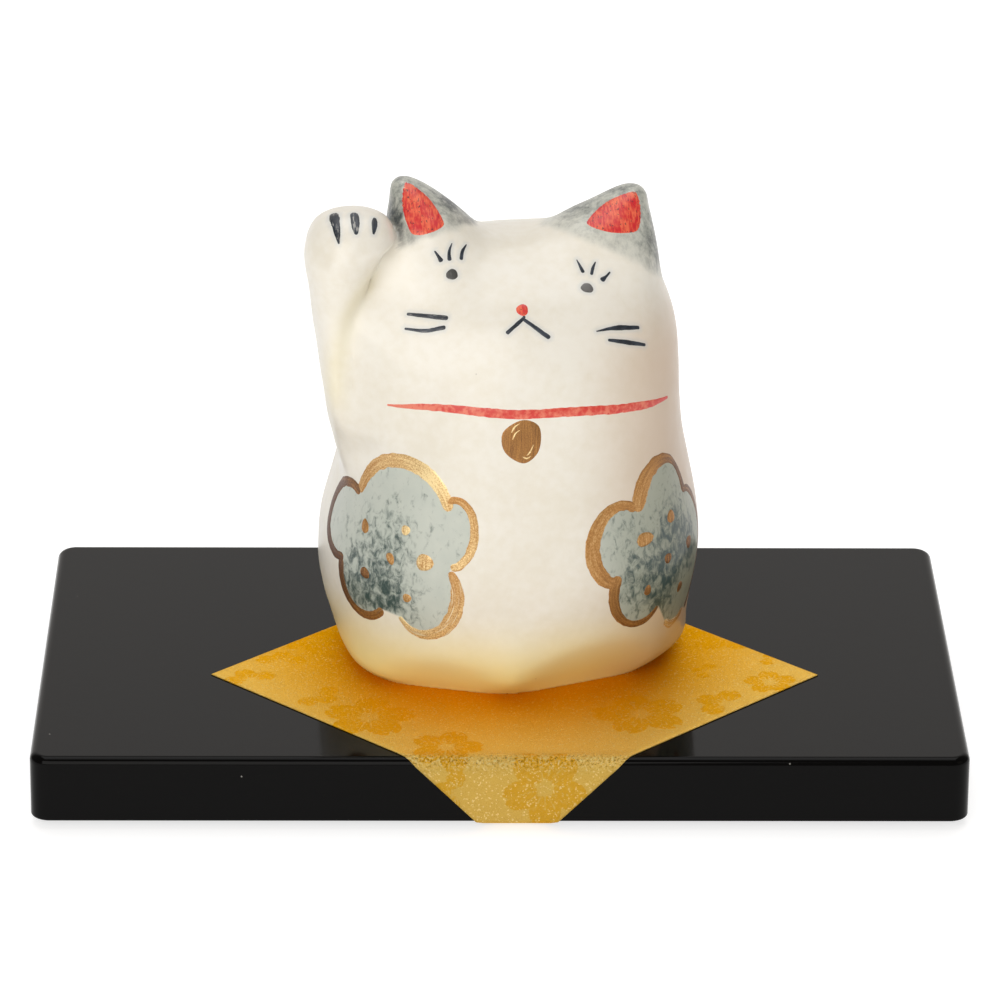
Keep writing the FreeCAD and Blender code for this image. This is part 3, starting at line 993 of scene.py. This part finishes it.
# Lashes fan out above each eye: place of the root from the eye, lean from upright in degrees, length,
# sideways bow of the middle, and widths from tip to root
LASHES = [
    [((-1.6, 2.2), -32, 2.3, 0.0, (0.25, 0.55, 0.95)),
     ((-0.3, 2.3), 11, 3.2, 0.3, (0.15, 0.55, 0.80)),
     ((1.7, 2.4), 23, 3.0, 0.3, (0.20, 0.65, 0.75))],
    [((-0.4, 2.6), -23, 2.6, 0.0, (0.15, 0.50, 0.70)),
     ((0.9, 2.2), 21, 2.5, 0.1, (0.20, 0.60, 0.60)),
     ((2.5, 1.2), 49, 2.3, -0.1, (0.30, 0.50, 1.15))],
]
NOSE = (1, 56.5)
MOUTH = [
    ([(1, 55.5), (1, 55), (-2, 52.5)], (0.5, 0.7, 0.65, 0.75)),
    ([(1, 55), (5.5, 51.5)], (0.6, 0.75, 0.85)),
]
WHISKERS = [
    ([(-18.5, 56.5), (-11.5, 55.5)], (0.5, 0.8, 0.95), 0.08),
    ([(-19, 54), (-15.5, 53.5), (-12, 54)], (0.4, 0.7, 0.8), 0.03),
    ([(13.5, 52.5), (17, 53), (21.5, 53)], (0.20, 1.00, 0.65), 0.0),
    ([(15.5, 51), (22.5, 50)], (0.50, 0.95, 0.55), 0.0),
]
CLAWS = [
    ([(-30.5, 74), (-30, 68.5)], (1.4, 1.9, 1.5, 1.1, 0.3), 0.12),
    ([(-27, 74), (-27, 70)], (1.2, 1.6, 1.6, 1.3, 0.5), 0.12),
    ([(-23.5, 73), (-24, 70)], (0.5, 1.1, 1.2, 0.9, 0.3), 0.0),
]
# Corners of the red inside each ear, which are rounded off
INNER_EARS = {
    "inner_ear_left": [(-18, 80.5), (-10.5, 71.5), (-17.5, 69.5)],
    "inner_ear_right": [(22.5, 77.5), (22.5, 69), (12, 71)],
}
# Lower edge of the grey wash over the ears on the picture plane, from the arm to the far side
WASH_EDGE = [(-24.5, 95), (-22.5, 66), (-15, 69.5), (-5, 72), (-3.5, 80), (2.5, 80), (4, 72.5),
             (15, 67.5), (30, 60)]
# Where that wash pooled dark, and painted shade in the gap beside the paw: right, up, reach each way,
# strength
EAR_WASH_POOLS_AND_SHADE = [
    (-8.8, 76.0, 3.2, 2.4, 0.9),
    (-6.0, 72.6, 3.5, 1.4, 0.9),
    # painted shade in the gap between the paw and the ear
    (-19.6, 71.0, 1.5, 5.0, 1.0),
    (-16.2, 69.4, 2.4, 1.4, 0.6),
    (-18.2, 81.5, 2.0, 2.0, 0.4),
    (9.5, 74.6, 4.5, 1.6, 0.6),
    (17.0, 77.6, 4.0, 1.2, 0.5),
    (25.4, 66.2, 1.7, 4.5, 0.6),
]


# Pigments: thick, thin and fleck colours
COLLAR_RED = (0.70, 0.048, 0.034, 1), (0.82, 0.21, 0.13, 1), (0.62, 0.035, 0.025, 1)
EAR_RED = (0.66, 0.018, 0.026, 1), (0.90, 0.17, 0.075, 1), (0.10, 0.018, 0.028, 1)
BLUE_BLACK = (0.010, 0.014, 0.022, 1), (0.035, 0.045, 0.062, 1), (0.006, 0.008, 0.012, 1)
EYE_GREY = (0.060, 0.058, 0.052, 1), (0.14, 0.135, 0.13, 1), (0.03, 0.03, 0.03, 1)


def paint_figurine(surface):
    """Makes every painted piece; returns the points of the dark line work."""
    gold = gold_paint_material()
    for name, plum, side in (("plum_left", LEFT_PLUM, -1), ("plum_right", RIGHT_PLUM, 1)):
        paint = Paint(surface)
        for *petal, widths, tones, dry in plum:
            paint.stroke(surface.round_body, arc(*petal), widths, tones, dry)
        for centre, half_width, half_height, turn, tone in PLUM_DOTS:
            if centre[0] * side > 0:
                paint.blob(surface.round_body, oval(centre, half_width, half_height, turn, DEGREE_ROUND),
                           tone, unit=DEGREE_ROUND, thickness=0.08)
        paint.finish(name, gold)

    bell = Paint(surface)
    bell.blob(surface.round_body, oval(BELL, 4.1, 3.75, 0.0, DEGREE_ROUND), 0.70, unit=DEGREE_ROUND,
              thickness=0.10, steps=25)
    for route in BELL_SHINE:
        bell.stroke(surface.round_body, route, (0.15, 0.4, 0.3, 0.1), (0.1,), thickness=0.13)
    bell.finish("bell", gold)

    collar = Paint(surface)
    collar.stroke(surface.round_body, COLLAR, (0.3, 1.2, 1.55, 1.75, 1.7, 1.7, 1.7, 1.5, 0.5),
                  (1.0, 0.5, 0.5, 0.45, 0.35))
    collar.finish("collar_band", pigment_material("collar_red", *COLLAR_RED, 0.60, (1.2, 1.0, 1.0)))

    red = pigment_material("ear_red", *EAR_RED, 0.57)
    for name, corners in INNER_EARS.items():
        ear = Paint(surface)
        ear.blob(surface.from_front, rounded(corners), 0.5, steps=41)
        ear.finish(name, red)
    nose = Paint(surface)
    nose.blob(surface.from_front, oval(NOSE, 1.05, 1.05), 0.5, thickness=0.08)
    nose.finish("nose", red)

    ink = pigment_material("blue_black", *BLUE_BLACK)
    grey = pigment_material("eye_grey", *EYE_GREY)
    eyes = Paint(surface)
    for centre, half_width, half_height, turn, tone in EYES:
        eyes.blob(surface.from_front, oval(centre, half_width, half_height, turn), tone, thickness=0.07)
    dark = [eyes.finish("eyes", grey)]
    lashes = [(lash(eye[0], root, lean, length, bow), widths)
              for eye, fan in zip(EYES, LASHES) for root, lean, length, bow, widths in fan]
    for name, strokes in (("lashes", lashes), ("mouth", MOUTH), ("whiskers", WHISKERS), ("claws", CLAWS)):
        paint = Paint(surface)
        for route, widths, *dry in strokes:
            paint.stroke(surface.from_front, route, widths, (0.5,), dry[0] if dry else 0.0)
        dark.append(paint.finish(name, ink))
    return np.concatenate(dark)


# Where the paw hides the grey wash: its middle and its reach, and the height where the head starts
PAW_MIDDLE = (-27.7, -9.3)
PAW_REACH = 8.0
HEAD_START = 46.0


def distance_inside(places, outline):
    """How far inside a closed outline each place is; negative outside it."""
    following = np.roll(outline, -1, 0)
    edge = following - outline
    offset = places[:, None] - outline[None]
    share = np.clip((offset * edge).sum(2) / np.maximum((edge ** 2).sum(1), 1e-9), 0.0, 1.0)
    distance = np.linalg.norm(offset - share[..., None] * edge, axis=2).min(1)
    rise = np.where(edge[:, 1] == 0.0, 1e-9, edge[:, 1])
    crossing = outline[:, 0] + offset[:, :, 1] * edge[:, 0] / rise
    beside = (outline[:, 1] > places[:, 1:2]) != (following[:, 1] > places[:, 1:2])
    inside = (beside & (places[:, :1] < crossing)).sum(1) % 2 == 1
    return np.where(inside, distance, -distance)


def wash_fields(points):
    """The colour washes at each point, painted reflection and shade among them: name and strength."""
    x, y, z = points.T
    angle = np.degrees(np.arctan2(y, x - LEAN_RATE * z)) + 90.0
    angle = np.where(angle > 180.0, angle - 360.0, angle)

    plum = np.full(len(points), -9.0)
    for strokes in (LEFT_PLUM, RIGHT_PLUM):
        outline = np.concatenate([smooth_line(arc(*petal[:4])) for petal in strokes]) * (DEGREE_ROUND, 1.0)
        near = np.flatnonzero((z < 46.0) & (np.abs(angle * DEGREE_ROUND - outline[:, 0].mean()) < 22.0))
        places = np.stack([angle[near] * DEGREE_ROUND, z[near]], 1)
        plum[near] = np.maximum(plum[near], distance_inside(places, outline))
    shade = np.zeros(len(points))
    for (place, height), reach, reach_up, strength in TEAL_POOLS:
        shade += strength * np.exp(-((angle - place) / reach) ** 2 - ((z - height) / reach_up) ** 2)

    up = np.minimum(y, 0.0) * PICTURE_UP[1] + z * PICTURE_UP[2]
    ragged = 0.5 * noise_field(points, 2.6, 7)
    above = up + ragged - np.interp(x, *np.array(WASH_EDGE).T)
    patch = 0.7 * smooth_step(-0.8, 0.9, above) + 0.3 * smooth_step(0.5, 5.0, above)
    from_arm = np.hypot((x - PAW_MIDDLE[0]) / PAW_REACH, (y - PAW_MIDDLE[1]) / PAW_REACH)
    patch *= np.where(z > 45.0, smooth_step(0.98, 1.10, from_arm), 0.0)
    gloom = 0.15 * smooth_step(1.0, 6.0, above)
    for right, height, reach, reach_up, strength in EAR_WASH_POOLS_AND_SHADE:
        gloom += strength * np.exp(-((x - right) / reach) ** 2 - ((up - height) / reach_up) ** 2)

    # Honey glaze pooled at the foot, with a painted reflection of the gold mat over it, most of all in
    # front and at the right front; and honey glaze pooled in the crease beside the arm
    honey_and_mat_reflection = (1.0 - smooth_step(0.5, 18.5, z)) * (0.55 + 0.45 * smooth_step(20.0, -20.0, y))
    right_front = smooth_step(4.0, 26.0, x) * smooth_step(10.0, -10.0, y)
    honey_and_mat_reflection += 0.25 * (1.0 - smooth_step(4.0, 24.0, z)) * right_front
    heights, _, _, crease = np.array(ARM_CREASE).T
    beside_crease = np.exp(-((x + 1.4 - np.interp(z, heights, crease)) / 2.2) ** 2)
    beside_crease *= smooth_step(-5.0, -9.0, y)
    honey_and_mat_reflection += 0.22 * beside_crease * smooth_step(46.0, 54.0, z) * (1.0 - smooth_step(70.0, 78.0, z))
    # Painted shade down the right side, below the head, away from the key light
    right_side_shade = 0.9 * smooth_step(7.0, 30.0, x) * (1.0 - smooth_step(56.0, 72.0, z))
    return {"right_side_shade": right_side_shade, "plum": plum, "shade": np.minimum(shade, 1.0), "patch": patch,
            "gloom": np.minimum(gloom, 1.0), "honey_and_mat_reflection": np.minimum(honey_and_mat_reflection, 1.0)}


def halo_field(points, dark_points):
    """Blue that bled out of the dark line work into the glaze."""
    tree = KDTree(len(dark_points))
    for index, point in enumerate(dark_points):
        tree.insert(point, index)
    tree.balance()
    halo = np.zeros(len(points))
    for index in np.flatnonzero((points[:, 2] > HEAD_START) & (points[:, 1] < 0.0)):
        distance = tree.find(points[index])[2]
        halo[index] = 1.0 - smooth_step(0.1, 0.8, distance)
    return halo


def body_piece(skin, dark_points):
    piece = make_piece("glazed_body", from_cat(skin.points), skin.faces, CAT,
                       glaze_material())
    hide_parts("body_front_shell", "body_rear_shell", "raised_arm", "bobtail")
    for name, values in wash_fields(skin.points).items():
        add_attribute(piece, name, "FLOAT", values)
    add_attribute(piece, "halo", "FLOAT", halo_field(skin.points, dark_points))


def coat(node_name, material):
    """Gives a CAD node its look."""
    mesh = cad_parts[node_name].data
    mesh.materials.clear()
    mesh.materials.append(material)


cloth_mat()
skin = raw_body()
sculpt_body(skin)
ink_points = paint_figurine(Surface(skin))
body_piece(skin, ink_points)
coat("base_disc", clay_material())
coat("display_board", lacquer_material())
rubber = rubber_material()
for node_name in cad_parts:
    if node_name.startswith("foot_"):
        coat(node_name, rubber)


# ---------------------------------------------------------------- floor, light and camera

def area_light(name, place, aim, size, power, colour=(1.0, 1.0, 1.0)):
    data = bpy.data.lights.new(name, "AREA")
    data.shape = "RECTANGLE"
    data.size, data.size_y = size
    data.energy = power
    data.color = colour
    light = bpy.data.objects.new(name, data)
    light.location = place
    light.rotation_mode = "QUATERNION"
    light.rotation_quaternion = (Vector(aim) - Vector(place)).to_track_quat("-Z", "Y")
    bpy.context.scene.collection.objects.link(light)


def studio():
    """Floor, a backdrop that brightens behind the object, and three soft lights."""
    floor = bpy.data.meshes.new("floor")
    reach = 4.0
    floor.from_pydata([(-reach, -reach, 0), (reach, -reach, 0), (reach, reach, 0), (-reach, reach, 0)],
                      [], [(0, 1, 2, 3)])
    floor_object = bpy.data.objects.new("floor", floor)
    bpy.context.scene.collection.objects.link(floor_object)
    floor.materials.append(floor_material())

    world = bpy.data.worlds.new("studio")
    world.use_nodes = True
    tree = world.node_tree
    background = tree.nodes["Background"]
    direction = tree.nodes.new("ShaderNodeTexCoord").outputs["Generated"]
    split = tree.nodes.new("ShaderNodeSeparateXYZ")
    tree.links.new(direction, split.inputs[0])
    backdrop = tree.nodes.new("ShaderNodeMapRange")
    backdrop.interpolation_type = "SMOOTHSTEP"
    tree.links.new(split.outputs["Y"], backdrop.inputs["Value"])
    for socket, value in (("From Min", 0.55), ("From Max", 0.85), ("To Min", 0.24), ("To Max", 0.92)):
        backdrop.inputs[socket].default_value = value
    background.inputs["Color"].default_value = (1.0, 0.965, 0.93, 1)
    tree.links.new(backdrop.outputs[0], background.inputs["Strength"])
    bpy.context.scene.world = world
    bpy.context.scene.view_settings.view_transform = "Standard"

    middle = (0.0, 0.0, 0.05)
    area_light("key", (-0.36, -1.0, 0.58), middle, (0.9, 0.9), 6.6, (1.0, 0.98, 0.95))
    area_light("top", (0.0, 0.2, 1.1), middle, (0.9, 0.9), 5.4)
    area_light("fill", (0.8, -0.5, 0.45), middle, (0.5, 0.5), 0.25, (1.0, 0.88, 0.72))


def camera():
    """A long lens looking down on the board, as places in metres and angles in degrees."""
    data = bpy.data.cameras.new("camera")
    data.sensor_width = 36.0
    data.lens = 218.3
    eye = bpy.data.objects.new("camera", data)
    eye.location = (-0.0133, -0.9802, 0.4466)
    yaw, pitch, roll = (math.radians(a) for a in (0.793, 22.452, 0.394))
    eye.rotation_mode = "QUATERNION"
    turn = (Matrix.Rotation(-yaw, 3, "Z") @ Matrix.Rotation(math.pi / 2 - pitch, 3, "X")
            @ Matrix.Rotation(roll, 3, "Z"))
    eye.rotation_quaternion = turn.to_quaternion()
    bpy.context.scene.collection.objects.link(eye)
    bpy.context.scene.camera = eye


studio()
camera()
